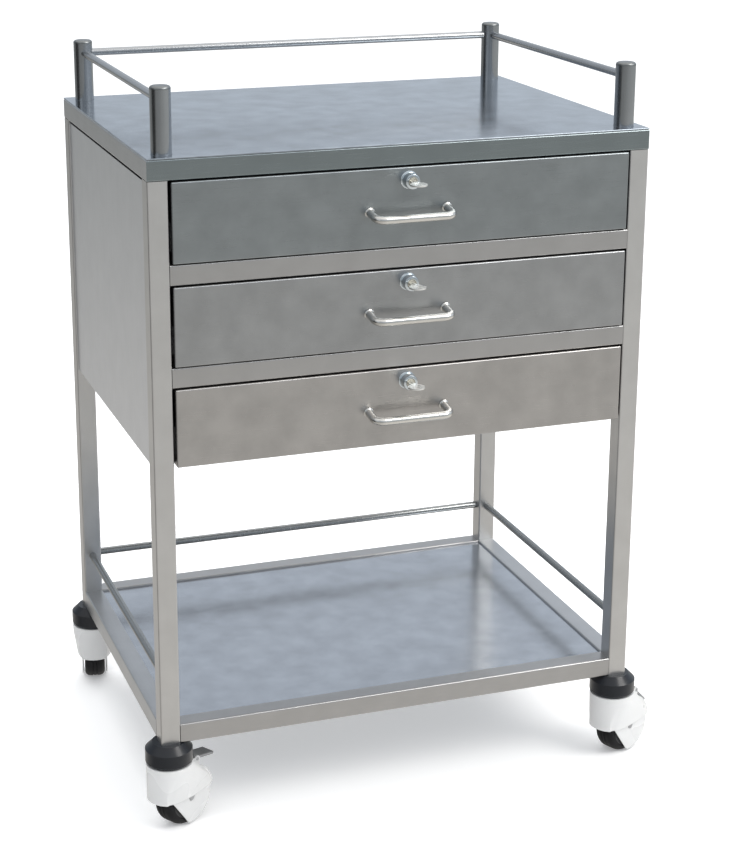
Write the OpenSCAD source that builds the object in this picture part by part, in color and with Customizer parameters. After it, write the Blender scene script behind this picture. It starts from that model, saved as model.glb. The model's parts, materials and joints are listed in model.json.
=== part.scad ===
// Three-drawer instrument cart of square stainless tube, on four hooded castors.
// Millimetres. +Z is up, the drawers open towards -Y, and the castors stand on Z = 0.

/* [Frame] */
// Width over the legs
cart_w = 640; // [600:10:760]
// Depth over the legs
cart_d = 470; // [450:10:560]
// Height of the welded frame, from the foot of a leg to the top rail
frame_h = 737; // [720:1:860]
// Side of the square tube
tube = 25; // [24:1:30]
// Wall of the square tube
tube_wall = 1.2; // [1:0.1:2]
// Outer corner radius of the square tube
tube_r = 1.8; // [1.5:0.1:3]
// Thickness of the panels, the shelf and the cabinet floor
sheet = 1.2; // [0.8:0.1:2]
// Thickness of the worktop sheet
top_sheet = 2; // [1.2:0.1:3]
// Groove between a side panel and the top rail
groove = 4; // [2:0.5:5]
// How far the side panels stand in from the leg faces
panel_inset = 2.5; // [1:0.5:6]
// How far the shelf lies below the top of its tube frame
shelf_drop = 3; // [1:0.5:6]

/* [Drawers] */
// Clear height of one drawer opening
opening_h = 100; // [96:1:110]
// Gap beside a drawer front
side_gap = 3; // [2:0.5:5]
// Gap above and below a drawer front
edge_gap = 1.5; // [1:0.5:4]
// How far a drawer front stands out from the legs
front_proud = 3; // [0:0.5:5]
// Depth of the folded drawer front
front_depth = 18; // [16:1:20]
// Length of a drawer tray, front to back
tray_len = 400; // [360:10:410]
// Height of a drawer tray
tray_h = 72; // [50:1:76]

/* [Handles and locks] */
// Distance between the two feet of a handle
handle_span = 99; // [90:1:130]
// Thickness of the handle bar
handle_bar = 10; // [8:0.5:11]
// How far the middle of the bar stands out
handle_reach = 27; // [26:1:40]
// Droop of the handle, in degrees
handle_droop = 9; // [0:1:12]
// Handle feet below the top edge of the drawer front
handle_drop = 52.5; // [48:0.5:55]
// Lock below the top edge of the drawer front
lock_drop = 15.5; // [13:0.5:17]
// Diameter of the lock head
lock_d = 19; // [16:0.5:20]
// How far the lock head stands out
lock_proud = 14; // [8:0.5:15]
// Length of the lock cam, from the plug's centre to its tip
cam_len = 27; // [25:1:30]

/* [Guard rails] */
// Diameter of the guard posts
post_d = 25; // [20:1:26]
// Height of the guard posts above the worktop, without their caps
post_h = 76; // [60:1:120]
// Post centres in from the edges of the cart
post_inset = 24; // [16:1:30]
// Diameter of the guard rods
rod_d = 10; // [6:0.5:12]
// Upper rods below the tops of the posts
rod_drop = 13; // [12:1:40]
// Lower rods above the shelf frame
rod_rise = 55; // [30:1:120]

/* [Castors] */
// Height of a castor, from the floor to the foot of its leg
castor_h = 120; // [118:1:126]
// Wheel diameter
wheel_d = 75; // [70:1:76]
// Width of the tyre
tyre_w = 29; // [26:1:32]
// Wheel centre behind the swivel axis
trail = 21; // [18:1:24]
// Diameter of the collar under the leg
collar_d = 60; // [56:1:64]
// Height of the collar
collar_h = 28; // [26:1:30]
// Radius of the hood around the wheel centre
hood_r = 42; // [41.5:0.5:44]
// Turn of the front-left castor about its stem
front_left_turn = 32; // [0:1:90]
// Turn of the front-right castor about its stem
front_right_turn = 25; // [0:1:90]
// Turn of the rear-left castor about its stem
rear_left_turn = 79; // [0:1:90]
// Turn of the rear-right castor about its stem
rear_right_turn = 28; // [0:1:90]
// Slope of a released brake pedal below the horizontal
pedal_rest = 10; // [0:1:20]
// Slope of a pressed brake pedal below the horizontal
pedal_down = 44; // [30:1:44]

/* [Hidden] */
$fn = 48;

// Frame: leg centres, heights and the clear opening between the legs
leg_x = cart_w / 2 - tube / 2;
leg_y = cart_d / 2 - tube / 2;
open_x = cart_w / 2 - tube;
open_y = cart_d / 2 - tube;
frame_top = castor_h + frame_h;
rail_under = frame_top - tube;
worktop_z = frame_top + top_sheet;
shelf_rail_top = castor_h + tube;

// Drawers: floor height of each opening, counted from the top
function opening_z(k) = rail_under - k * opening_h - (k - 1) * tube;
cabinet_z = opening_z(3) - sheet;
front_w = 2 * (open_x - side_gap);
front_h = opening_h - 2 * edge_gap;
front_y = -cart_d / 2 - front_proud;
tray_y = front_y + front_depth;
runner_t = 13;
tray_w = 2 * (open_x - runner_t);
tray_lift = 6;
runner_h = 34;
runner_z = 30;
slide_h = 26;

// Locks: the case reaches through the tray wall, and the cam turns behind the rail
lock_z = opening_h - edge_gap - lock_drop;
lock_body_d = 15;
lock_reach = tube + front_proud + 4;
plug_d = 11;
plug_clear = 0.05;
cam_t = 2;
key_t = 2;
key_bow = 21;
key_neck = 10;

// Guard posts stand in holes in the worktop
post_x = cart_w / 2 - post_inset;
post_y = cart_d / 2 - post_inset;
post_clear = 0.05;
cap_h = 4;
rod_z = worktop_z + post_h - rod_drop;
lower_rod_z = shelf_rail_top + rod_rise;

// Castors
wheel_r = wheel_d / 2;
wheel_clear = 2.2;
hood_t = 2.3;
pocket_w = tyre_w + 3;
hood_w = pocket_w + 2 * hood_t;
cheek_r = wheel_r - 3;
skirt_z = 43;
cheek_slope = 54;
hood_top = castor_h - collar_h - 0.8;
pin_d = 10;
pin_clear = 0.05;
pin_foot = 78;
stem_d = 12;
stem_up = 24;
flange_z = castor_h - 8;
axle_d = 8;
pedal_pin_d = 4;
pedal_u = 38;
pedal_z = 83;
pedal_w = 20;
pedal_len = 34;
ear_t = 3;

// Castor order: front left, front right, rear left, rear right
turns = [front_left_turn, front_right_turn, rear_left_turn, rear_right_turn];
corners = [[-1, -1], [1, -1], [-1, 1], [1, 1]];

// The cart is moved so that the origin lies under the middle of its outline
function reach(turn) = (trail + hood_r) * cos(turn) + hood_w / 2 * sin(turn);
right_side = leg_x + max(reach(front_right_turn), reach(rear_right_turn));
left_side = leg_x + collar_d / 2;
rear_side = leg_y + max(reach(90 - rear_left_turn), reach(90 - rear_right_turn));
front_side = lock_proud - front_y + key_neck + key_bow - 2;
cart_x = (left_side - right_side) / 2;
cart_y = (front_side - rear_side) / 2;

module placed() {
    translate([cart_x, cart_y, 0]) children();
}

module at_corners(x, y, z = 0) {
    for (c = corners) translate([c[0] * x, c[1] * y, z]) children();
}

// Square with round corners, whose arcs stay true arcs
module round_square(side, r) {
    square([side - 2 * r, side], center = true);
    square([side, side - 2 * r], center = true);
    for (x = [-1, 1], y = [-1, 1]) translate([x, y] * (side / 2 - r)) circle(r, $fn = 32);
}

module tube_profile() {
    difference() {
        round_square(tube, tube_r);
        round_square(tube - 2 * tube_wall, tube_r - 0.8);
    }
}

module tube_z(length) {
    linear_extrude(length) tube_profile();
}

module tube_x(length) {
    rotate([90, 0, 90]) translate([0, 0, -length / 2]) tube_z(length);
}

module tube_y(length) {
    rotate([90, 0, 0]) translate([0, 0, -length / 2]) tube_z(length);
}

// A top rail along X whose ends are mitred, longest at its outer side towards -Y
module mitred_rail(length) {
    difference() {
        tube_x(length);
        for (s = [-1, 1])
            translate([s * length / 2, -tube / 2, 0]) rotate([0, 0, 45 * s])
                translate([s * tube, 0, 0]) cube([2 * tube, 4 * tube, 2 * tube], center = true);
    }
}

module steel() {
    color([0.70, 0.71, 0.72]) children();
}

// ---------- Welded frame ----------

module leg_pair(side) {
    steel() placed() for (x = [-1, 1])
        translate([x * leg_x, side * leg_y, castor_h]) tube_z(frame_h - tube);
}

module front_legs() { leg_pair(-1); }

module rear_legs() { leg_pair(1); }

module top_cross_rails() {
    steel() placed() for (a = [0, 180])
        rotate([0, 0, a]) translate([0, -leg_y, frame_top - tube / 2]) mitred_rail(cart_w);
}

module top_side_rails() {
    steel() placed() for (a = [90, 270])
        rotate([0, 0, a]) translate([0, -leg_x, frame_top - tube / 2]) mitred_rail(cart_d);
}

module drawer_rails() {
    steel() placed() for (k = [1, 2])
        translate([0, -leg_y, opening_z(k) - tube / 2]) tube_x(2 * open_x);
}

module shelf_cross_rails() {
    steel() placed() for (y = [-1, 1])
        translate([0, y * leg_y, castor_h + tube / 2]) tube_x(2 * open_x);
}

module shelf_side_rails() {
    steel() placed() for (x = [-1, 1])
        translate([x * leg_x, 0, castor_h + tube / 2]) tube_y(2 * open_y);
}

// ---------- Panels ----------

module side_panel(side) {
    outer_x = cart_w / 2 - panel_inset - sheet;
    lip = 14;
    steel() placed() scale([side, 1, 1]) {
        translate([outer_x, -open_y, cabinet_z]) cube([sheet, 2 * open_y, rail_under - groove - cabinet_z]);
        translate([outer_x - lip, -open_y, rail_under - groove - sheet]) cube([lip, 2 * open_y, sheet]);
    }
}

module side_panel_left() { side_panel(-1); }

module side_panel_right() { side_panel(1); }

module back_panel() {
    steel() placed() translate([-open_x, cart_d / 2 - panel_inset - sheet, cabinet_z])
        cube([2 * open_x, sheet, rail_under - groove - cabinet_z]);
}

module cabinet_floor() {
    side_x = cart_w / 2 - panel_inset - sheet;
    rear_y = cart_d / 2 - panel_inset - sheet;
    steel() placed() {
        translate([-open_x, -open_y, cabinet_z]) cube([2 * open_x, open_y + rear_y, sheet]);
        translate([-side_x, -open_y, cabinet_z]) cube([2 * side_x, 2 * open_y, sheet]);
    }
}

module worktop() {
    steel() placed() difference() {
        translate([-cart_w / 2, -cart_d / 2, frame_top]) cube([cart_w, cart_d, top_sheet]);
        at_corners(post_x, post_y, frame_top - 1) cylinder(r = post_d / 2 + post_clear, h = top_sheet + 2);
    }
}

module shelf_panel() {
    top = shelf_rail_top - shelf_drop;
    hem = 15;
    steel() placed() {
        translate([-open_x, -open_y, top - sheet]) cube([2 * open_x, 2 * open_y, sheet]);
        for (y = [-1, 1]) translate([-open_x, y * (open_y - sheet / 2) - sheet / 2, top - hem])
            cube([2 * open_x, sheet, hem]);
        for (x = [-1, 1]) translate([x * (open_x - sheet / 2) - sheet / 2, -open_y, top - hem])
            cube([sheet, 2 * open_y, hem]);
    }
}

// ---------- Guard rails ----------

module guard_posts() {
    steel() placed() at_corners(post_x, post_y, frame_top) difference() {
        cylinder(d = post_d, h = post_h + top_sheet);
        translate([0, 0, -1]) cylinder(d = post_d - 2 * tube_wall, h = post_h + top_sheet + 2);
    }
}

// A domed plug: its spigot sits in the post
module guard_caps() {
    spigot_r = post_d / 2 - tube_wall - 0.05;
    dome_r = post_d / 2;
    steel() placed() at_corners(post_x, post_y, worktop_z + post_h) rotate_extrude() {
        translate([0, -8]) square([spigot_r, 8]);
        square([dome_r - cap_h, cap_h]);
        square([dome_r, 0.8]);
        intersection() {
            translate([dome_r - cap_h, 0.8]) scale([1, 0.8]) circle(cap_h);
            square([dome_r, cap_h]);
        }
    }
}

module rod_x(length) {
    rotate([0, 90, 0]) cylinder(d = rod_d, h = length, center = true);
}

module rod_y(length) {
    rotate([90, 0, 0]) cylinder(d = rod_d, h = length, center = true);
}

// Three rods, left, back and right: each ends on the surface of a post
module guard_rods() {
    steel() placed() difference() {
        translate([0, 0, rod_z]) {
            translate([0, post_y, 0]) rod_x(2 * post_x);
            for (x = [-1, 1]) translate([x * post_x, 0, 0]) rod_y(2 * post_y);
        }
        at_corners(post_x, post_y, worktop_z) cylinder(d = post_d, h = post_h);
    }
}

module shelf_guard_rods() {
    steel() placed() translate([0, 0, lower_rod_z]) {
        translate([0, leg_y, 0]) rod_x(2 * open_x);
        for (x = [-1, 1]) translate([x * leg_x, 0, 0]) rod_y(2 * open_y);
    }
}

// ---------- Drawers: k counts from the top ----------

module at_drawer(k) {
    placed() translate([0, 0, opening_z(k)]) children();
}

// Fixed C-shaped runners, welded between a front and a rear leg
module drawer_runners() {
    length = cart_d - 30;
    web = 1.2;
    lips = runner_t - 4;
    color([0.55, 0.56, 0.58]) for (k = [1:3]) at_drawer(k) for (s = [-1, 1])
        scale([s, 1, 1]) translate([open_x - web, front_y + front_depth + 2, runner_z - runner_h / 2]) {
            cube([web, length, runner_h]);
            for (z = [0, runner_h - web])
                translate([web - lips, 0, z]) cube([lips, length, web]);
        }
}

module drawer_slides(k) {
    bar_t = 8;
    color([0.62, 0.63, 0.65]) at_drawer(k) for (s = [-1, 1])
        scale([s, 1, 1]) translate([tray_w / 2, tray_y + 3, runner_z - slide_h / 2])
            difference() {
                cube([bar_t, tray_len - 6, slide_h]);
                translate([2, -1, 5]) cube([bar_t, tray_len, slide_h - 10]);
            }
}

module drawer_tray(k) {
    steel() at_drawer(k) translate([0, tray_y, tray_lift]) difference() {
        translate([-tray_w / 2, 0, 0]) cube([tray_w, tray_len, tray_h]);
        translate([-tray_w / 2 + sheet, sheet, sheet]) cube([tray_w - 2 * sheet, tray_len - 2 * sheet, tray_h]);
        translate([0, -1, lock_z - tray_lift]) rotate([-90, 0, 0]) cylinder(d = lock_body_d + 0.4, h = sheet + 2);
    }
}

// A folded pan, open at the back, with a hole for the lock
module drawer_front(k) {
    shades = [[0.50, 0.52, 0.52], [0.58, 0.58, 0.57], [0.64, 0.63, 0.61]];
    color(shades[k - 1]) at_drawer(k) translate([0, front_y, edge_gap]) difference() {
        translate([-front_w / 2, 0, 0]) cube([front_w, front_depth, front_h]);
        translate([-front_w / 2 + sheet, sheet, sheet])
            cube([front_w - 2 * sheet, front_depth, front_h - 2 * sheet]);
        translate([0, -1, lock_z - edge_gap]) rotate([-90, 0, 0])
            cylinder(d = lock_body_d + 0.4, h = sheet + 2);
    }
}

// A bow of round bar with bent corners, drooping from its feet
module handle(k) {
    bend = 11;
    leg = handle_reach / cos(handle_droop) - bend;
    slant = handle_bar;
    color([0.74, 0.74, 0.73]) at_drawer(k)
        translate([0, front_y, opening_h - edge_gap - handle_drop]) intersection() {
            rotate([handle_droop, 0, 0]) {
                for (s = [-1, 1]) scale([s, 1, 1]) {
                    translate([handle_span / 2, slant, 0]) rotate([90, 0, 0])
                        cylinder(d = handle_bar, h = leg + slant, $fn = 32);
                    translate([handle_span / 2 - bend, -leg, 0]) rotate([0, 0, -90])
                        rotate_extrude(angle = 90) translate([bend, 0]) circle(d = handle_bar, $fn = 32);
                }
                translate([0, -leg - bend, 0]) rotate([0, 90, 0])
                    cylinder(d = handle_bar, h = handle_span - 2 * bend, center = true, $fn = 32);
            }
            translate([-handle_span, -3 * handle_reach, -handle_reach])
                cube([2 * handle_span, 3 * handle_reach, 2 * handle_reach]);
        }
}

module at_lock(k) {
    at_drawer(k) translate([0, front_y, lock_z]) rotate([-90, 0, 0]) children();
}

// The head outside and the threaded body inside, bored for the plug
module lock_case(k) {
    color([0.80, 0.81, 0.82]) at_lock(k) difference() {
        union() {
            translate([0, 0, -lock_proud]) cylinder(d = lock_d, h = lock_proud - 1.5);
            translate([0, 0, -1.5]) cylinder(d = lock_d + 3, h = 1.5);
            cylinder(d = lock_body_d, h = lock_reach - cam_t);
        }
        translate([0, 0, -lock_proud - 1]) cylinder(d = plug_d + 2 * plug_clear, h = lock_reach + lock_proud + 2);
    }
}

// The plug and its cam: the cam lies level while the drawer is unlocked and turns up to lock it
module lock_plug(k) {
    color([0.72, 0.70, 0.64]) at_lock(k) {
        difference() {
            translate([0, 0, -lock_proud]) cylinder(d = plug_d, h = lock_proud + lock_reach);
            translate([-4, -key_t / 2 - 0.1, -lock_proud - 1]) cube([8, key_t + 0.2, lock_proud + 12]);
        }
        translate([0, 0, lock_reach - cam_t + 0.2]) linear_extrude(cam_t) {
            circle(d = lock_body_d);
            translate([0, -5]) square([cam_len, 10]);
        }
    }
}

// A flat key left in the lock, with a round bow
module key(k) {
    blade = 10;
    color([0.83, 0.82, 0.78]) at_lock(k) rotate([90, 0, 0]) translate([0, -lock_proud, -key_t / 2])
        linear_extrude(key_t) difference() {
            union() {
                translate([-3.8, -key_neck]) square([7.6, blade + key_neck]);
                translate([0, -key_neck - key_bow / 2 + 2]) circle(d = key_bow);
            }
            translate([0, -key_neck - key_bow / 2 - 3]) circle(d = 4.5);
        }
}

// ---------- Castors: i counts through the corners, X runs from the stem towards the wheel ----------

module at_stem(i) {
    placed() translate([corners[i][0] * leg_x, corners[i][1] * leg_y, 0])
        rotate([0, 0, turns[i]]) children();
}

module at_wheel() {
    translate([trail, 0, wheel_r]) rotate([90, 0, 0]) children();
}

module leg_inserts() {
    side = tube - 2 * tube_wall - 0.1;
    color([0.45, 0.46, 0.48]) placed() at_corners(leg_x, leg_y, castor_h) difference() {
        linear_extrude(stem_up + 4) round_square(side, 1.5);
        translate([0, 0, -1]) cylinder(r = stem_d / 2 + 0.02, h = stem_up + 6);
    }
}

// Screwed stem, bearing flange and king pin, turned in one piece
module castor_stems() {
    color([0.60, 0.61, 0.63]) placed() at_corners(leg_x, leg_y) {
        translate([0, 0, castor_h - 4]) cylinder(d = stem_d, h = stem_up + 4);
        translate([0, 0, flange_z]) cylinder(d = 36, h = 4);
        translate([0, 0, pin_foot]) cylinder(d = pin_d, h = flange_z - pin_foot);
    }
}

// Bevelled cup that covers the swivel bearing
module castor_collars() {
    bevel = 9;
    wall = 2.5;
    roof = 3.9;
    color([0.22, 0.26, 0.30]) placed() at_corners(leg_x, leg_y, castor_h - collar_h) rotate_extrude()
        difference() {
            polygon([[stem_d / 2 + 0.1, 0], [collar_d / 2 - 2.5, 0], [collar_d / 2, 3],
                [collar_d / 2, collar_h - bevel], [collar_d / 2 - bevel, collar_h],
                [stem_d / 2 + 0.1, collar_h]]);
            translate([-1, -1]) square([collar_d / 2 - wall - 2 + 1, collar_h - bevel + 1]);
            translate([-1, -1]) square([collar_d / 2 - bevel - wall + 1, collar_h - roof + 1]);
        }
}

// White hood: a round skirt under the collar, an arched cover and two round cheeks
module hood(i) {
    braked = i < 2;
    skirt_r = collar_d / 2 - 0.5;
    color([0.95, 0.95, 0.94]) at_stem(i) {
        difference() {
            union() {
                hull() {
                    translate([0, 0, hood_top - 10]) cylinder(r = skirt_r, h = 10);
                    translate([0, 0, skirt_z + 14]) intersection() {
                        cylinder(r = skirt_r, h = 2);
                        cube([3 * skirt_r, hood_w, 10], center = true);
                    }
                    at_wheel() cylinder(r = hood_r - 4, h = hood_w, center = true);
                }
                intersection() {
                    cylinder(r = skirt_r, h = hood_top);
                    translate([-skirt_r, -hood_w / 2, skirt_z]) cube([2 * skirt_r, hood_w, hood_top]);
                }
                at_wheel() cylinder(r = hood_r, h = hood_w - 4, center = true, $fn = 64);
                cylinder(r = 15, h = flange_z - 0.5);
                if (braked) for (s = [-1, 1])
                    translate([pedal_u, s * (pedal_w / 2 + 0.5 + ear_t / 2), pedal_z]) rotate([90, 0, 0])
                        hull() {
                            cylinder(r = 4.5, h = ear_t, center = true, $fn = 32);
                            translate([-7, -12, 0]) cube([10, 8, ear_t], center = true);
                        }
            }
            at_wheel() cylinder(r = wheel_r + wheel_clear, h = pocket_w, center = true, $fn = 64);
            intersection() {
                translate([0, 0, -1]) cylinder(r = skirt_r - hood_t, h = skirt_z + 22);
                cube([3 * skirt_r, pocket_w, 200], center = true);
            }
            difference() {
                translate([-90, -60, -10]) cube([180, 120, skirt_z + 10]);
                intersection() {
                    at_wheel() cylinder(r = cheek_r, h = hood_w, center = true, $fn = 64);
                    translate([trail - cheek_r, 0, skirt_z]) rotate([0, cheek_slope, 0])
                        translate([-100, -60, 0]) cube([200, 120, 100]);
                }
            }
            translate([0, 0, pin_foot - 2]) cylinder(r = pin_d / 2 + pin_clear, h = 40);
            at_wheel() cylinder(d = axle_d, h = hood_w + 10, center = true);
            if (braked) {
                translate([pedal_u, 0, pedal_z]) rotate([90, 0, 0]) {
                    cylinder(d = pedal_pin_d, h = 60, center = true);
                    cylinder(r = 5.5, h = pedal_w + 1, center = true);
                }
                translate([pedal_u + 15, 0, pedal_z + 7]) cube([30, pedal_w + 1, 24], center = true);
            }
        }
    }
}

// The wheel axle, with the pedal pin on the braked castors
module axle(i) {
    color([0.66, 0.67, 0.69]) at_stem(i) {
        at_wheel() cylinder(d = axle_d, h = hood_w, center = true);
        if (i < 2) translate([pedal_u, 0, pedal_z]) rotate([90, 0, 0])
            cylinder(d = pedal_pin_d, h = pedal_w + 1 + 2 * ear_t, center = true);
    }
}

module wheel(i) {
    rim_r = wheel_r - 9;
    color([0.14, 0.14, 0.15]) at_stem(i) at_wheel() rotate_extrude() difference() {
        translate([0, -tyre_w / 2 + 1]) square([rim_r, tyre_w - 2]);
        translate([-1, -tyre_w]) square([axle_d / 2 + 0.06 + 1, 2 * tyre_w]);
        for (s = [-1, 1]) translate([14, s * tyre_w / 2]) scale([1, 0.55]) circle(8);
    }
}

// Round-shouldered tread on the rim
module tyre(i) {
    rim_r = wheel_r - 9;
    shoulder = 8;
    color([0.08, 0.08, 0.09]) at_stem(i) at_wheel() rotate_extrude() {
        translate([rim_r, -tyre_w / 2]) square([wheel_r - shoulder - rim_r, tyre_w]);
        translate([rim_r, -tyre_w / 2 + shoulder]) square([wheel_r - rim_r, tyre_w - 2 * shoulder]);
        for (s = [-1, 1]) translate([wheel_r - shoulder, s * (tyre_w / 2 - shoulder)]) intersection() {
            circle(shoulder);
            translate([0, -shoulder]) square(2 * shoulder);
        }
    }
}

// A foot pedal that turns on its pin: released on the left castor, pressed on the right one
module pedal(i) {
    angle = i == 0 ? -pedal_rest : -pedal_down;
    color([0.42, 0.43, 0.45]) at_stem(i) translate([pedal_u, 0, pedal_z]) rotate([0, -angle, 0])
        difference() {
            union() {
                rotate([90, 0, 0]) cylinder(r = 4, h = pedal_w, center = true);
                translate([0, -pedal_w / 2, -2]) cube([pedal_len, pedal_w, 4]);
            }
            rotate([90, 0, 0]) cylinder(r = pedal_pin_d / 2 + 0.05, h = pedal_w + 2, center = true);
        }
}

front_legs();
rear_legs();
top_cross_rails();
top_side_rails();
drawer_rails();
shelf_cross_rails();
shelf_side_rails();
side_panel_left();
side_panel_right();
back_panel();
cabinet_floor();
worktop();
shelf_panel();
guard_posts();
guard_caps();
guard_rods();
shelf_guard_rods();
drawer_runners();
leg_inserts();
castor_stems();
castor_collars();
drawer_tray(1);  // drawer_tray_1
drawer_front(1);  // drawer_front_1
handle(1);  // handle_1
lock_case(1);  // lock_case_1
lock_plug(1);  // lock_plug_1
key(1);  // key_1
drawer_slides(1);  // drawer_slides_1
drawer_tray(2);  // drawer_tray_2
drawer_front(2);  // drawer_front_2
handle(2);  // handle_2
lock_case(2);  // lock_case_2
lock_plug(2);  // lock_plug_2
key(2);  // key_2
drawer_slides(2);  // drawer_slides_2
drawer_tray(3);  // drawer_tray_3
drawer_front(3);  // drawer_front_3
handle(3);  // handle_3
lock_case(3);  // lock_case_3
lock_plug(3);  // lock_plug_3
key(3);  // key_3
drawer_slides(3);  // drawer_slides_3
hood(0);  // hood_fl
axle(0);  // axle_fl
wheel(0);  // wheel_fl
tyre(0);  // tyre_fl
hood(1);  // hood_fr
axle(1);  // axle_fr
wheel(1);  // wheel_fr
tyre(1);  // tyre_fr
hood(2);  // hood_rl
axle(2);  // axle_rl
wheel(2);  // wheel_rl
tyre(2);  // tyre_rl
hood(3);  // hood_rr
axle(3);  // axle_rr
wheel(3);  // wheel_rr
tyre(3);  // tyre_rr
pedal(0);  // pedal_fl
pedal(1);  // pedal_fr
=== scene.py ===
import json
import math

import bmesh
import bpy
from mathutils import Matrix, Vector


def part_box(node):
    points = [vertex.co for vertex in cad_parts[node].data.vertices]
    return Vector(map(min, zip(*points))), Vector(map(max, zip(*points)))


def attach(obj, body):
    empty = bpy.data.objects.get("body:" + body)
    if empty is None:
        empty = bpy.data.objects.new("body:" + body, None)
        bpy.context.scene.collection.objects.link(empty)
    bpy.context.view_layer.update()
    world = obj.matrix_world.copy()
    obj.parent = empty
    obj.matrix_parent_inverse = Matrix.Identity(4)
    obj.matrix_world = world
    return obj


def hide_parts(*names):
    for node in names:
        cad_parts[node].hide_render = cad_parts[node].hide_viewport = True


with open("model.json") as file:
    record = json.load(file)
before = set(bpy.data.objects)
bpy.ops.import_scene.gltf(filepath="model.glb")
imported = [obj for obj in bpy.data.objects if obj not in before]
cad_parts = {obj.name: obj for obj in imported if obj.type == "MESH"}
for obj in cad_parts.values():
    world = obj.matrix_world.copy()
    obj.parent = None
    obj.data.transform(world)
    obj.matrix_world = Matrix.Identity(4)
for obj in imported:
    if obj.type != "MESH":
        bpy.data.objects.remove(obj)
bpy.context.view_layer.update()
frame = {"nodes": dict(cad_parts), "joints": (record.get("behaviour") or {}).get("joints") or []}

MM = 0.001
UP = Vector((0, 0, 1))
CORNERS = ("fl", "fr", "rl", "rr")
DRAWERS = (1, 2, 3)
JOINTS = {j["name"]: j for j in frame["joints"]}


# ---------- Materials ----------


def new_material(name):
    mat = bpy.data.materials.new(name)
    mat.use_nodes = True
    nodes, links = mat.node_tree.nodes, mat.node_tree.links
    nodes.clear()
    shader = nodes.new("ShaderNodeBsdfPrincipled")
    out = nodes.new("ShaderNodeOutputMaterial")
    links.new(shader.outputs[0], out.inputs[0])
    return mat, nodes, links, shader


def noise(nodes, links, scale, stretch=(1, 1, 1), detail=3, rough=0.5):
    """Noise in the object's own metres, drawn out along an axis by a small factor there."""
    coords = nodes.new("ShaderNodeTexCoord")
    mapping = nodes.new("ShaderNodeMapping")
    mapping.inputs["Scale"].default_value = stretch
    tex = nodes.new("ShaderNodeTexNoise")
    tex.inputs["Scale"].default_value = scale
    tex.inputs["Detail"].default_value = detail
    tex.inputs["Roughness"].default_value = rough
    links.new(coords.outputs["Object"], mapping.inputs[0])
    links.new(mapping.outputs[0], tex.inputs["Vector"])
    return tex.outputs["Fac"]


def ramp(nodes, links, source, low, high, start=0.3, end=0.7):
    """A two-colour ramp; a number gives a grey."""
    node = nodes.new("ShaderNodeValToRGB")
    for element, place, value in zip(node.color_ramp.elements, (start, end), (low, high)):
        element.position = place
        element.color = (*value, 1) if isinstance(value, tuple) else (value, value, value, 1)
    links.new(source, node.inputs[0])
    return node.outputs[0]


def bump(nodes, links, shader, source, strength, distance, below=None):
    """A bump for the shader, laid over another one if that is given."""
    node = nodes.new("ShaderNodeBump")
    node.inputs["Strength"].default_value = strength
    node.inputs["Distance"].default_value = distance
    links.new(source, node.inputs["Height"])
    if below is not None:
        links.new(below, node.inputs["Normal"])
    links.new(node.outputs[0], shader.inputs["Normal"])
    return node.outputs[0]


def scaled(colour, factor):
    return tuple(min(1, c * factor) for c in colour)


# Noise scales, in repeats to the metre, and the depths of the bumps made from them
MOTTLE_SCALE = 30
WAVE_SCALE, WAVE_DEPTH = 5, 2 * MM
LINE_SCALE, LINE_DEPTH, LINE_STRENGTH = 900, 0.05 * MM, 0.07
LINES_ALONG = {"x": (0.03, 1, 1), "y": (1, 0.03, 1), "z": (1, 1, 0.03)}
PATCH_SCALE = 14
SPARK_SCALE, SPARK_DEPTH = 1800, 0.06 * MM
DUST_SCALE, DUST_DEPTH, DUST_STRENGTH = 160, 0.15 * MM, 0.25


def steel(name, colour, grain, rough=0.3, spread=0.04, wave=0.25, tint=0.035):
    """Brushed stainless steel: fine lines along one axis, faint mottling, a sheet's waves."""
    mat, nodes, links, shader = new_material(name)
    shader.inputs["Metallic"].default_value = 1
    mottled = noise(nodes, links, MOTTLE_SCALE, detail=4)
    tones = scaled(colour, 1 - tint), scaled(colour, 1 + tint)
    links.new(ramp(nodes, links, mottled, *tones), shader.inputs["Base Color"])
    lines = noise(nodes, links, LINE_SCALE, LINES_ALONG[grain], detail=2)
    links.new(ramp(nodes, links, lines, rough - spread, rough + spread), shader.inputs["Roughness"])
    swell = noise(nodes, links, WAVE_SCALE, detail=1)
    waves = bump(nodes, links, shader, swell, wave, WAVE_DEPTH)
    bump(nodes, links, shader, lines, LINE_STRENGTH, LINE_DEPTH, waves)
    return mat


def plastic(name, colour, rough, coat=0.0, grain=0.1, tint=0.04, shine=0.5):
    """Moulded plastic: an almost even colour with a fine spark-eroded texture."""
    mat, nodes, links, shader = new_material(name)
    shader.inputs["Coat Weight"].default_value = coat
    shader.inputs["Coat Roughness"].default_value = 0.2
    shader.inputs["Specular IOR Level"].default_value = shine
    patches = noise(nodes, links, PATCH_SCALE, detail=1)
    tones = scaled(colour, 1 - tint), colour
    links.new(ramp(nodes, links, patches, *tones), shader.inputs["Base Color"])
    links.new(ramp(nodes, links, patches, rough * 0.95, rough * 1.05), shader.inputs["Roughness"])
    bump(nodes, links, shader, noise(nodes, links, SPARK_SCALE, detail=2), grain, SPARK_DEPTH)
    return mat


def rubber(name, colour, dusty):
    """Tyre rubber, greyed by dust in its pores."""
    mat, nodes, links, shader = new_material(name)
    shader.inputs["Specular IOR Level"].default_value = 0.2
    dust = noise(nodes, links, DUST_SCALE, detail=6, rough=0.7)
    links.new(ramp(nodes, links, dust, colour, dusty, 0.45, 0.8), shader.inputs["Base Color"])
    links.new(ramp(nodes, links, dust, 0.5, 0.72), shader.inputs["Roughness"])
    bump(nodes, links, shader, dust, DUST_STRENGTH, DUST_DEPTH)
    return mat


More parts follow.
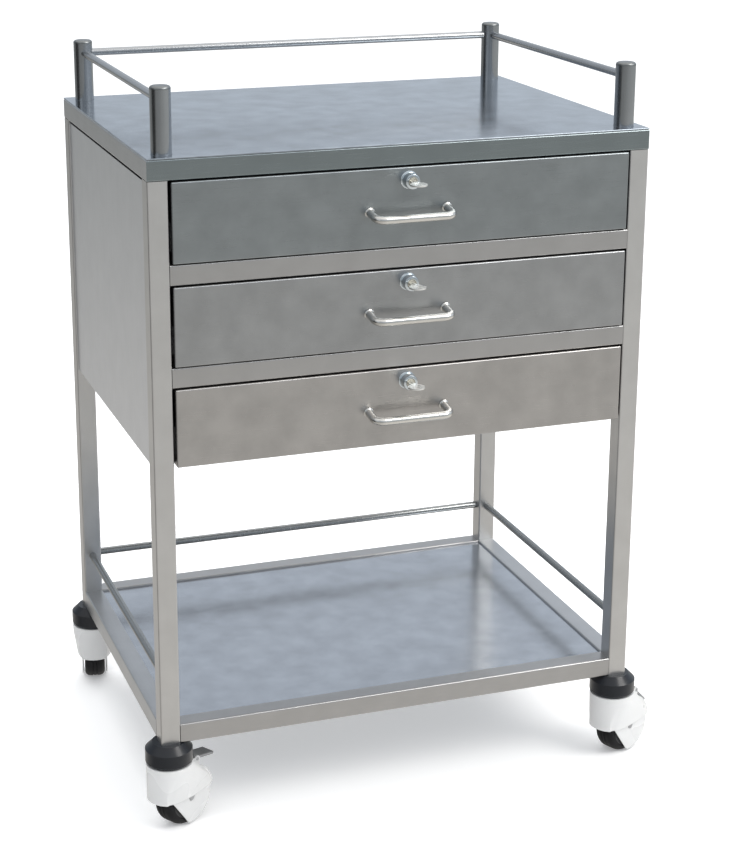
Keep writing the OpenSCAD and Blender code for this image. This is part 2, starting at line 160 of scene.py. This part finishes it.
MATS = {
    "leg": steel("leg_steel", (0.59, 0.585, 0.575), "z", 0.36, wave=0.1),
    # Painted shade and light: the top, cross and side rails are one steel; the top rails are
    # painted dark and bluish, and the side rails lighter than the cross rails, for how the light
    # falls on each.
    "rail_top_painted_shade": steel("top_rail_steel_painted_shade", (0.265, 0.30, 0.31), "x", 0.24, wave=0.1),
    "rail_x": steel("cross_rail_steel", (0.45, 0.445, 0.44), "x", 0.34, wave=0.1),
    "rail_y_painted_light": steel("side_rail_steel_painted_light", (0.50, 0.51, 0.52), "y", 0.34, wave=0.1),
    # Painted light: the side panels, and the cabinet floor with them, are the back panel's steel
    # made lighter to make up for the dimmer light from the left.
    "side": steel("side_panel_steel_painted_light", (0.66, 0.675, 0.70), "z", 0.32, tint=0.025),
    "back": steel("back_panel_steel", (0.58, 0.585, 0.595), "x", 0.32, tint=0.025),
    "top": steel("worktop_steel", (0.36, 0.40, 0.445), "x", 0.15, 0.03, wave=0.04, tint=0.16),
    "shelf": steel("shelf_steel", (0.51, 0.535, 0.57), "x", 0.2, wave=0.1, tint=0.09),
    # Painted shade and light: the three drawer fronts are one steel, painted darkest on the upper
    # drawer and lightest on the lower, for how the light falls on each.
    "front_1": steel("drawer_steel_upper_painted_shade", (0.305, 0.328, 0.338), "x", 0.31, tint=0.08),
    "front_2": steel("drawer_steel_middle_painted_shade", (0.382, 0.39, 0.396), "x", 0.31, tint=0.08),
    "front_3": steel("drawer_steel_lower_painted_light", (0.45, 0.437, 0.424), "x", 0.31, tint=0.08),
    "tray": steel("tray_steel", (0.52, 0.52, 0.52), "x", 0.34),
    "post": steel("post_steel", (0.38, 0.395, 0.41), "z", 0.22, wave=0.0),
    "cap": steel("cap_steel", (0.24, 0.25, 0.25), "z", 0.34, wave=0.0),
    "rod": steel("rod_steel", (0.41, 0.42, 0.43), "z", 0.24, wave=0.0),
    # Painted shade: the shelf guard rods are a darker copy of the rod steel.
    "rod_low_painted_shade": steel("lower_rod_steel_painted_shade", (0.31, 0.32, 0.32), "z", 0.24, wave=0.0),
    "handle": steel("handle_steel", (0.66, 0.65, 0.62), "x", 0.22, wave=0.0),
    "zinc": steel("zinc_steel", (0.42, 0.43, 0.45), "x", 0.38, tint=0.12),
    "chrome": steel("lock_chrome", (0.62, 0.67, 0.70), "x", 0.1, 0.03, wave=0.0),
    "core": steel("lock_core_nickel", (0.50, 0.48, 0.42), "x", 0.26, 0.05, wave=0.0),
    "key": steel("key_nickel", (0.86, 0.86, 0.83), "y", 0.42, 0.06, wave=0.0),
    "collar": plastic("collar_plastic", (0.006, 0.008, 0.012), 0.34, coat=0.45, shine=0.2),
    "hood": plastic(
        "hood_plastic", (0.64, 0.64, 0.635), 0.28, coat=0.35, grain=0.03, tint=0.03
    ),
    "wheel": plastic("wheel_plastic", (0.035, 0.035, 0.037), 0.45),
    "pedal": plastic("pedal_plastic", (0.27, 0.27, 0.27), 0.45, grain=0.2),
    "tyre": rubber("tyre_rubber", (0.007, 0.007, 0.008), (0.0194, 0.0194, 0.0216)),
}


# ---------- Mesh tools ----------

SMOOTH_ANGLE = 35  # degrees; a sharper edge stays sharp in the shading


def mesh_of(bm, name="work"):
    """A mesh made of a bmesh, which is used up."""
    mesh = bpy.data.meshes.new(name)
    bm.to_mesh(mesh)
    bm.free()
    return mesh


def placed(name, data):
    """A new object in the scene."""
    obj = bpy.data.objects.new(name, data)
    bpy.context.scene.collection.objects.link(obj)
    return obj


def finish_mesh(obj, mat, angle):
    """Gives an object its material, and smooth shading over edges up to an angle."""
    mesh = obj.data
    mesh.materials.clear()
    mesh.materials.append(MATS[mat])
    mesh.polygons.foreach_set("use_smooth", [True] * len(mesh.polygons))
    mesh.set_sharp_from_angle(angle=math.radians(angle))


def flat_faces(obj):
    """Keeps flat faces flat in the shading, so that only their narrow edges look round."""
    mod = obj.modifiers.new("even normals", "WEIGHTED_NORMAL")
    mod.weight, mod.keep_sharp = 100, True


def piece(name, shape, mat, body, node, angle=SMOOTH_ANGLE, at=None):
    """Makes an object of a mesh or bmesh that rides on a body, in place of a CAD node."""
    if isinstance(shape, bmesh.types.BMesh):
        bmesh.ops.recalc_face_normals(shape, faces=shape.faces)
        shape = mesh_of(shape, name)
    if at is not None:
        shape.transform(at)
    obj = placed(name, shape)
    finish_mesh(obj, mat, angle)
    flat_faces(obj)
    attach(obj, body)
    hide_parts(node)


def dress(node, mat, edge=0.0):
    """Gives a CAD node its material, smooth shading and, if edge is given, softened edges."""
    obj = frame["nodes"][node]
    finish_mesh(obj, mat, SMOOTH_ANGLE)
    if edge:
        mod = obj.modifiers.new("soft edges", "BEVEL")
        mod.width, mod.segments = edge, 2
        mod.limit_method, mod.angle_limit = "ANGLE", math.radians(40)
    flat_faces(obj)


def cut(cutter):
    """A modifier that takes away a bmesh."""
    return "BOOLEAN", {"object": cutter, "operation": "DIFFERENCE", "solver": "EXACT"}


def rounded(width, segments, **more):
    """A modifier that rounds the sharp edges."""
    return "BEVEL", {"width": width, "segments": segments, "limit_method": "ANGLE", **more}


def evaluated(bm, *modifiers):
    """The mesh that a stack of (type, settings) modifiers makes of a bmesh."""
    obj = placed("work", mesh_of(bm))
    used = [obj]
    for kind, settings in modifiers:
        mod = obj.modifiers.new(kind, kind)
        for key, value in settings.items():
            if isinstance(value, bmesh.types.BMesh):
                value = placed("cutter", mesh_of(value))
                used.append(value)
            setattr(mod, key, value)
    bpy.context.view_layer.update()
    graph = bpy.context.evaluated_depsgraph_get()
    done = bpy.data.meshes.new_from_object(obj.evaluated_get(graph))
    for o in used:
        bpy.data.objects.remove(o)
    return done


def joined(parts):
    """One bmesh of several."""
    whole = bmesh.new()
    for bm in parts:
        mesh = mesh_of(bm)
        whole.from_mesh(mesh)
        bpy.data.meshes.remove(mesh)
    return whole


def block(lo, hi, radius=0.0, segments=3):
    """A box between two corners, with rounded edges."""
    bm = bmesh.new()
    size = [b - a for a, b in zip(lo, hi)]
    centre = [(a + b) / 2 for a, b in zip(lo, hi)]
    place = Matrix.Translation(centre) @ Matrix.Diagonal((*size, 1))
    bmesh.ops.create_cube(bm, size=1, matrix=place)
    if radius:
        bmesh.ops.bevel(
            bm, geom=bm.edges[:], offset=radius, segments=segments, profile=0.5, affect="EDGES"
        )
    return bm


def cylinder(x, y, bottom, top, radius, steps=48):
    """An upright cylinder."""
    bm = bmesh.new()
    bmesh.ops.create_cone(
        bm, cap_ends=True, segments=steps, radius1=radius, radius2=radius, depth=top - bottom,
        matrix=Matrix.Translation((x, y, (bottom + top) / 2)),
    )
    return bm


def lathe(outline, steps):
    """Turns a closed outline of (radius, place along Y) about the Y axis."""
    bm = bmesh.new()
    rings = []
    for i in range(steps):
        a = 2 * math.pi * i / steps
        rings.append([bm.verts.new((r * math.cos(a), y, -r * math.sin(a))) for r, y in outline])
    count = len(outline)
    for i in range(steps):
        here, there = rings[i], rings[(i + 1) % steps]
        for j in range(count):
            k = (j + 1) % count
            bm.faces.new((here[j], here[k], there[k], there[j]))
    bmesh.ops.remove_doubles(bm, verts=bm.verts, dist=1e-7)
    return bm


def bar(radius, start, end, steps):
    """A round bar along the Y axis."""
    return lathe([(0, start), (radius, start), (radius, end), (0, end)], steps)


def sweep(path, radius, steps):
    """A round bar along a path of points."""
    bm = bmesh.new()
    points = [Vector(p) for p in path]
    last = len(points) - 1
    normal = None
    rings = []
    for i, p in enumerate(points):
        along = (points[min(i + 1, last)] - points[max(i - 1, 0)]).normalized()
        if normal is None:
            normal = along.orthogonal().normalized()
        normal = (normal - along * normal.dot(along)).normalized()
        side = along.cross(normal)
        rings.append([
            bm.verts.new(p + radius * (math.cos(a) * normal + math.sin(a) * side))
            for a in (2 * math.pi * j / steps for j in range(steps))
        ])
    for here, there in zip(rings, rings[1:]):
        for j in range(steps):
            k = (j + 1) % steps
            bm.faces.new((here[j], here[k], there[k], there[j]))
    bm.faces.new(rings[0])
    bm.faces.new(rings[-1])
    return bm


def arc(centre, radius, start, end, steps):
    """Points on a level arc; angles in degrees."""
    angles = (math.radians(start + (end - start) * i / steps) for i in range(steps + 1))
    return [Vector(centre) + radius * Vector((math.cos(a), math.sin(a), 0)) for a in angles]


# ---------- CAD nodes that stay, with better surfaces ----------

KEPT = {
    "front_legs": "leg", "rear_legs": "leg",
    "top_cross_rails": "rail_top_painted_shade", "top_side_rails": "rail_y_painted_light", "drawer_rails": "rail_x",
    "shelf_cross_rails": "rail_x", "shelf_side_rails": "rail_y_painted_light",
    "guard_posts": "post", "guard_caps": "cap", "guard_rods": "rod", "shelf_guard_rods": "rod_low_painted_shade",
    "leg_inserts": "zinc", "castor_stems": "zinc", "castor_collars": "collar",
}
KEPT_SHEETS = {
    "side_panel_left": "side", "side_panel_right": "side", "back_panel": "back",
    "cabinet_floor": "side", "drawer_runners": "zinc",
}
for node, mat in KEPT.items():
    dress(node, mat)
for node, mat in KEPT_SHEETS.items():
    dress(node, mat, 0.25 * MM)
for k in DRAWERS:
    dress(f"drawer_tray_{k}", "tray", 0.4 * MM)
    dress(f"drawer_slides_{k}", "zinc", 0.3 * MM)
    dress(f"lock_plug_{k}", "core")
for c in CORNERS:
    dress(f"axle_{c}", "zinc")
    dress(f"wheel_{c}", "wheel")


# ---------- Worktop and shelf ----------

POST_R = 12.5 * MM
POST_HOLE_R = POST_R + 0.05 * MM
PAST = 5 * MM  # how far a cutter goes past what it cuts
HEM = 1.2 * MM


def worktop_sheet():
    """A flat sheet with rounded edges and a hole for each guard post."""
    posts_lo, posts_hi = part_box("guard_posts")
    lo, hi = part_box("worktop")
    holes = [
        cylinder(x, y, lo.z - PAST, hi.z + PAST, POST_HOLE_R)
        for x in (posts_lo.x + POST_R, posts_hi.x - POST_R)
        for y in (posts_lo.y + POST_R, posts_hi.y - POST_R)
    ]
    sheet = evaluated(block(lo, hi), cut(joined(holes)), rounded(0.7 * MM, 3))
    piece("worktop_sheet", sheet, "top", "cart", "worktop")


def shelf_sheet():
    """An upside-down tray: a sheet with a hem on all four sides."""
    lo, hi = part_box("shelf_panel")
    inside = block(lo + Vector((HEM, HEM, -PAST)), hi - Vector((HEM, HEM, HEM)), 0.6 * MM)
    edges = rounded(0.9 * MM, 3, angle_limit=math.radians(50))
    sheet = evaluated(block(lo, hi), cut(inside), edges)
    piece("shelf_sheet", sheet, "shelf", "cart", "shelf_panel")


worktop_sheet()
shelf_sheet()


# ---------- Drawer fronts, handles, locks and keys ----------

WALL = 1.2 * MM

BAR_R = 5 * MM
BEND_R = 11 * MM
BEND_STEPS = 10
HANDLE_REACH = 27 * MM
HANDLE_DROOP = math.radians(9)
HANDLE_ROOT = 0.5 * MM  # how far the bar goes into the drawer front

LOCK_HOLE_R = 7.7 * MM
LOCK_HOLE_REACH = 30 * MM
LOCK_HEAD_R = 9.5 * MM
LOCK_HEAD_PROUD = 14 * MM
LOCK_BODY_R = 7.5 * MM
LOCK_PLUG_R = 5.6 * MM
THREAD_PITCH = 1 * MM
THREAD_START = 1.5 * MM
THREAD_DEPTH = 0.5 * MM

SHANK_HALF = 3.8 * MM  # half the width of a key's shank
RING_HOLE_R = 2.25 * MM
DIMPLE_R = 4.5 * MM
DIMPLE_DEPTH = 0.4 * MM
KEY_GROOVE_DEPTH = 0.5 * MM


def drawer_front(k):
    """A folded front, open at the back, with a hole for the lock."""
    lo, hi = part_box(f"drawer_front_{k}")
    lock = Vector(JOINTS[f"lock_{k}_turn"]["pos_m"])
    behind = (hi.x - WALL, hi.y + 50 * MM, hi.z - WALL)
    hollow = block(lo + Vector((WALL, WALL, WALL)), behind, 0.8 * MM)
    hole = bar(LOCK_HOLE_R, -LOCK_HOLE_REACH, LOCK_HOLE_REACH, 48)
    bmesh.ops.translate(hole, verts=hole.verts, vec=lock)
    front = evaluated(block(lo, hi), rounded(1.6 * MM, 4), cut(joined([hollow, hole])))
    piece(f"drawer_panel_{k}", front, f"front_{k}", f"drawer_{k}", f"drawer_front_{k}")


def weld_foot(x):
    """The weld round the end of a handle's bar."""
    foot = lathe([
        (BAR_R * 0.9, 0.2 * MM), (BAR_R + 1.6 * MM, 0.2 * MM), (BAR_R + 1.5 * MM, -0.3 * MM),
        (BAR_R + 0.7 * MM, -0.9 * MM), (BAR_R * 0.9, -2 * MM),
    ], 32)
    bmesh.ops.translate(foot, verts=foot.verts, vec=(x, 0, 0))
    return foot


def bow_handle(k):
    """A bow of round bar that droops a little, with a weld at each end."""
    lo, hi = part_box(f"handle_{k}")
    span = (hi.x - lo.x) / 2 - BAR_R
    bend_y = BEND_R - HANDLE_REACH / math.cos(HANDLE_DROOP)
    path = [
        (-span, HANDLE_ROOT, 0),
        *arc((BEND_R - span, bend_y, 0), BEND_R, 180, 270, BEND_STEPS),
        *arc((span - BEND_R, bend_y, 0), BEND_R, 270, 360, BEND_STEPS),
        (span, HANDLE_ROOT, 0),
    ]
    bow = joined([sweep(path, BAR_R, 28), weld_foot(-span), weld_foot(span)])
    foot = ((lo.x + hi.x) / 2, hi.y, hi.z - BAR_R / math.cos(HANDLE_DROOP))
    place = Matrix.Translation(foot) @ Matrix.Rotation(HANDLE_DROOP, 4, "X")
    piece(f"bow_handle_{k}", bow, "handle", f"drawer_{k}", f"handle_{k}", at=place)


def lock_head(k):
    """A flange, a bevelled head and a threaded body round the plug."""
    lo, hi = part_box(f"lock_case_{k}")
    back = hi.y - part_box(f"drawer_front_{k}")[0].y
    flange_r = (hi.x - lo.x) / 2
    outline = [
        (LOCK_PLUG_R, 0.4 * MM - LOCK_HEAD_PROUD), (LOCK_PLUG_R + 0.5 * MM, -LOCK_HEAD_PROUD),
        (LOCK_HEAD_R - 1.4 * MM, -LOCK_HEAD_PROUD),
        (LOCK_HEAD_R - 0.5 * MM, 0.4 * MM - LOCK_HEAD_PROUD),
        (LOCK_HEAD_R, 1.3 * MM - LOCK_HEAD_PROUD), (LOCK_HEAD_R, -2.2 * MM),
        (LOCK_HEAD_R + 0.2 * MM, -1.6 * MM), (flange_r - 0.4 * MM, -1.4 * MM),
        (flange_r, -1.0 * MM), (flange_r, 0), (LOCK_BODY_R, 0),
    ]
    for i in range(int((back - 2 * MM) / THREAD_PITCH)):
        crest = THREAD_START + i * THREAD_PITCH
        outline += [(LOCK_BODY_R, crest), (LOCK_BODY_R - THREAD_DEPTH, crest + THREAD_PITCH / 2)]
    outline += [(LOCK_BODY_R - 0.3 * MM, back), (LOCK_PLUG_R, back)]
    place = Matrix.Translation(JOINTS[f"lock_{k}_turn"]["pos_m"])
    piece(f"lock_head_{k}", lathe(outline, 56), "chrome", f"drawer_{k}", f"lock_case_{k}",
          30, place)


def bowed_key(k):
    """A flat key with a round bow, a hole for a ring, a dimple in each face and a groove."""
    lo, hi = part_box(f"key_{k}")
    x = (lo.x + hi.x) / 2
    bow_r = (hi.x - lo.x) / 2
    bow_y = lo.y + bow_r
    mouth = math.degrees(math.asin(SHANK_HALF / bow_r))
    rim = arc((x, bow_y, 0), bow_r, 90 - mouth, mouth - 270, 40)
    outline = [(x + SHANK_HALF, hi.y, 0), *rim, (x - SHANK_HALF, hi.y, 0)]
    flat = bmesh.new()
    flat.faces.new([flat.verts.new(p) for p in outline])
    bmesh.ops.translate(flat, verts=flat.verts, vec=(0, 0, lo.z))
    solid = bmesh.ops.extrude_face_region(flat, geom=flat.faces[:])
    raised = [v for v in solid["geom"] if isinstance(v, bmesh.types.BMVert)]
    bmesh.ops.translate(flat, verts=raised, vec=(0, 0, hi.z - lo.z))
    cuts = [cylinder(x, bow_y - 5 * MM, lo.z - MM, hi.z + MM, RING_HOLE_R, 24)]
    for z in (lo.z + DIMPLE_DEPTH - MM, hi.z + MM - DIMPLE_DEPTH):
        cuts.append(cylinder(x, bow_y + 2.5 * MM, z - MM, z + MM, DIMPLE_R, 32))
    cuts.append(block(
        (x - 1.0 * MM, bow_y + 9 * MM, hi.z - KEY_GROOVE_DEPTH),
        (x + 0.2 * MM, hi.y + PAST, hi.z + MM),
    ))
    key = evaluated(flat, cut(joined(cuts)), rounded(0.3 * MM, 2))
    piece(f"bowed_key_{k}", key, "key", f"lock_{k}", f"key_{k}")


for k in DRAWERS:
    drawer_front(k)
    bow_handle(k)
    lock_head(k)
    bowed_key(k)


# ---------- Castors ----------

WHEEL_R = 37.5 * MM
TYRE_HALF = 14.5 * MM
TYRE_DEPTH = 9 * MM
SHOULDER_R = 8 * MM
GROOVE_AT = 2.6 * MM
GROOVE_HALF = 0.7 * MM
GROOVE_DEPTH = 0.9 * MM
HOOD_VOXEL = 1.0 * MM

PEDAL_HALF = 10 * MM
PEDAL_LENGTH = 34 * MM
PEDAL_THICK = 4 * MM
KNUCKLE_R = 4 * MM
PEDAL_SLOPE = {"fl": 10, "fr": 44}  # degrees below level at rest: released, and pressed


def turned(axis):
    """The turn that lays the Y axis of a shape along a level axis."""
    across = Vector(axis)
    return Matrix((across.cross(UP), across, UP)).transposed().to_4x4()


def tyre_outline():
    """Quarter-round shoulders and two shallow grooves round the tread."""
    rim, crown = WHEEL_R - TYRE_DEPTH, WHEEL_R - SHOULDER_R
    turn = TYRE_HALF - SHOULDER_R
    angles = [math.radians(9 * i) for i in range(11)]
    points = [(rim, -TYRE_HALF), (crown, -TYRE_HALF)]
    points += [
        (crown + SHOULDER_R * math.sin(a), -turn - SHOULDER_R * math.cos(a)) for a in angles[1:]
    ]
    for y in (-GROOVE_AT, GROOVE_AT):
        floor_r = WHEEL_R - GROOVE_DEPTH
        points += [
            (WHEEL_R, y - GROOVE_HALF), (floor_r, y - GROOVE_HALF / 2),
            (floor_r, y + GROOVE_HALF / 2), (WHEEL_R, y + GROOVE_HALF),
        ]
    points += [
        (crown + SHOULDER_R * math.cos(a), turn + SHOULDER_R * math.sin(a)) for a in angles[:-1]
    ]
    points += [(crown, TYRE_HALF), (rim, TYRE_HALF)]
    return points


def smooth_hood(node):
    """The CAD hood with its facets blended and its edges rounded, as moulded plastic is."""
    bm = bmesh.new()
    bm.from_mesh(frame["nodes"][node].data)
    bmesh.ops.remove_doubles(bm, verts=bm.verts, dist=1e-6)
    return evaluated(
        bm,
        ("REMESH", {"mode": "VOXEL", "voxel_size": HOOD_VOXEL, "use_smooth_shade": True}),
        ("SMOOTH", {"factor": 0.5, "iterations": 6}),
    )


def castor(c):
    """The tyre and the hood of one castor."""
    roll = JOINTS[f"roll_{c}"]
    place = Matrix.Translation(roll["pos_m"]) @ turned(roll["axis"])
    piece(f"treaded_tyre_{c}", lathe(tyre_outline(), 96), "tyre", f"roller_{c}", f"tyre_{c}",
          50, place)
    piece(f"moulded_hood_{c}", smooth_hood(f"hood_{c}"), "hood", f"castor_{c}", f"hood_{c}",
          60)


def brake_lever(c):
    """A ribbed plate on a knuckle that turns on the pin."""
    joint = JOINTS[f"brake_{c}_pedal"]
    half, top = PEDAL_HALF, PEDAL_THICK / 2
    pin_room = bar(2.15 * MM, -half - MM, half + MM, 24)
    shape = bmesh.new()
    shape.from_mesh(evaluated(
        block((0, -half, -top), (PEDAL_LENGTH, half, top), 1.2 * MM), cut(pin_room)
    ))
    knuckle = lathe([
        (2.1 * MM, -half), (KNUCKLE_R - 0.4 * MM, -half), (KNUCKLE_R, 0.4 * MM - half),
        (KNUCKLE_R, half - 0.4 * MM), (KNUCKLE_R - 0.4 * MM, half), (2.1 * MM, half),
    ], 32)
    rib_half = half - 2.5 * MM
    ribs = [
        block((x * MM, -rib_half, top - 0.5 * MM), ((x + 1.6) * MM, rib_half, top), 0.2 * MM, 2)
        for x in range(12, 32, 4)
    ]
    slope = Matrix.Rotation(math.radians(PEDAL_SLOPE[c]), 4, "Y")
    place = Matrix.Translation(joint["pos_m"]) @ turned(joint["axis"]) @ slope
    piece(f"brake_lever_{c}", joined([shape, knuckle, *ribs]), "pedal", f"brake_{c}", f"pedal_{c}",
          SMOOTH_ANGLE, place)


for c in CORNERS:
    castor(c)
for c in PEDAL_SLOPE:
    brake_lever(c)


# ---------- Studio ----------

FLOOR_HALF = 40
WALL_R, WALL_H = 39, 24


def area_light(name, place, target, size, power, colour=(1, 1, 1), shows=True):
    """A square light; one that doesn't show is left out of the reflections."""
    data = bpy.data.lights.new(name, "AREA")
    data.size = size
    data.energy, data.color = power, colour
    obj = placed(name, data)
    obj.location = place
    obj.rotation_euler = (Vector(target) - Vector(place)).to_track_quat("-Z", "Y").to_euler()
    obj.visible_glossy = shows


def paper(name, glow):
    """Almost white paper that shines a little by itself."""
    mat, nodes, links, shader = new_material(name)
    shader.inputs["Emission Color"].default_value = (1, 1, 1, 1)
    shader.inputs["Emission Strength"].default_value = glow
    links.new(ramp(nodes, links, noise(nodes, links, 3), 0.93, 0.95), shader.inputs["Base Color"])
    return mat, shader


def pale_floor():
    bm = bmesh.new()
    bmesh.ops.create_grid(bm, x_segments=1, y_segments=1, size=FLOOR_HALF)
    floor = placed("floor", mesh_of(bm, "floor"))
    mat, shader = paper("floor_paper", 0.25)
    shader.inputs["Roughness"].default_value = 0.9
    shader.inputs["Specular IOR Level"].default_value = 0.1
    floor.data.materials.append(mat)
    floor.visible_glossy = False


def white_wall():
    """A far white wall all round, which only the camera sees, in place of a horizon."""
    bm = bmesh.new()
    bmesh.ops.create_cone(
        bm, cap_ends=False, segments=64, radius1=WALL_R, radius2=WALL_R, depth=WALL_H,
        matrix=Matrix.Translation((0, 0, WALL_H / 2 - 0.01)),
    )
    wall = placed("wall", mesh_of(bm, "wall"))
    mat, _ = paper("wall_paper", 1.2)
    wall.data.materials.append(mat)
    wall.visible_diffuse = wall.visible_glossy = wall.visible_shadow = False


def map_range(nodes, links, source, start, end, low=0.0, high=1.0):
    node = nodes.new("ShaderNodeMapRange")
    for name, value in zip(("From Min", "From Max", "To Min", "To Max"), (start, end, low, high)):
        node.inputs[name].default_value = value
    links.new(source, node.inputs["Value"])
    return node


def sky():
    """The studio round the cart: warm grey below, dark at eye level, blue grey, bright above."""
    world = bpy.data.worlds.new("studio")
    bpy.context.scene.world = world
    world.use_nodes = True
    nodes, links = world.node_tree.nodes, world.node_tree.links
    nodes.clear()
    out = nodes.new("ShaderNodeOutputWorld")
    back = nodes.new("ShaderNodeBackground")
    coords = nodes.new("ShaderNodeTexCoord")
    split = nodes.new("ShaderNodeSeparateXYZ")
    links.new(coords.outputs["Generated"], split.inputs[0])

    # From straight down, at 0, to straight up, at 1
    height = nodes.new("ShaderNodeValToRGB")
    stops = [
        (0.0, (0.78, 0.76, 0.73)), (0.34, (0.74, 0.72, 0.69)), (0.42, (0.42, 0.43, 0.42)),
        (0.5, (0.30, 0.32, 0.33)), (0.54, (0.57, 0.62, 0.68)), (0.77, (0.57, 0.61, 0.67)),
        (0.86, (1.3, 1.3, 1.3)), (0.95, (1.15, 1.15, 1.15)),
    ]
    elements = height.color_ramp.elements
    while len(elements) < len(stops):
        elements.new(0.5)
    for element, (place, colour) in zip(elements, stops):
        element.position, element.color = place, (*colour, 1)
    level = map_range(nodes, links, split.outputs["Z"], -1, 1)
    links.new(level.outputs[0], height.inputs[0])

    # A dark screen on the left, which round posts show as a black stripe
    turn = nodes.new("ShaderNodeVectorMath")
    turn.operation = "DOT_PRODUCT"
    turn.inputs[1].default_value = (-1, 0.03, 0)
    links.new(coords.outputs["Generated"], turn.inputs[0])
    screen = map_range(nodes, links, turn.outputs["Value"], 0.87, 0.96, 1.0, 0.15)
    screen.interpolation_type = "SMOOTHSTEP"

    # More light from the right than from the left
    aside = map_range(nodes, links, split.outputs["X"], -1, 1, 0.62, 1.38)

    both = nodes.new("ShaderNodeMath")
    both.operation = "MULTIPLY"
    links.new(screen.outputs[0], both.inputs[0])
    links.new(aside.outputs[0], both.inputs[1])
    shaded = nodes.new("ShaderNodeVectorMath")
    shaded.operation = "SCALE"
    links.new(height.outputs[0], shaded.inputs[0])
    links.new(both.outputs[0], shaded.inputs["Scale"])
    links.new(shaded.outputs[0], back.inputs[0])
    links.new(back.outputs[0], out.inputs[0])


sky()
pale_floor()
white_wall()
area_light("key", (2.2, -2.4, 3.2), (0, 0, 0.5), 2.0, 75, (1, 0.98, 0.95))
area_light("fill", (-3.0, -1.6, 2.0), (0, 0, 0.5), 2.4, 6, (0.95, 0.98, 1))
area_light("top", (0, 0.6, 3.6), (0, 0, 0.4), 3.0, 65, shows=False)


# ---------- Camera ----------

IMAGE_H = 849
SENSOR = 36
FOCAL_PX = 1966
CAMERA_AT = (-0.8520, -2.3951, 1.2799)
YAW, PITCH = math.radians(18.84), math.radians(16.05)
# How far the point straight ahead of the camera lies left of the image's middle, and above it
AHEAD_LEFT, AHEAD_UP = 47.5, 84.5

camera = bpy.data.cameras.new("camera")
camera.sensor_width = SENSOR
camera.lens = FOCAL_PX / IMAGE_H * SENSOR
camera.shift_x = AHEAD_LEFT / IMAGE_H
camera.shift_y = -AHEAD_UP / IMAGE_H
camera.clip_end = 200
eye = placed("camera", camera)
eye.location = CAMERA_AT
eye.rotation_euler = (math.radians(90) - PITCH, 0, -YAW)
bpy.context.scene.camera = eye
bpy.context.scene.view_settings.view_transform = "Standard"

bpy.context.view_layer.update()
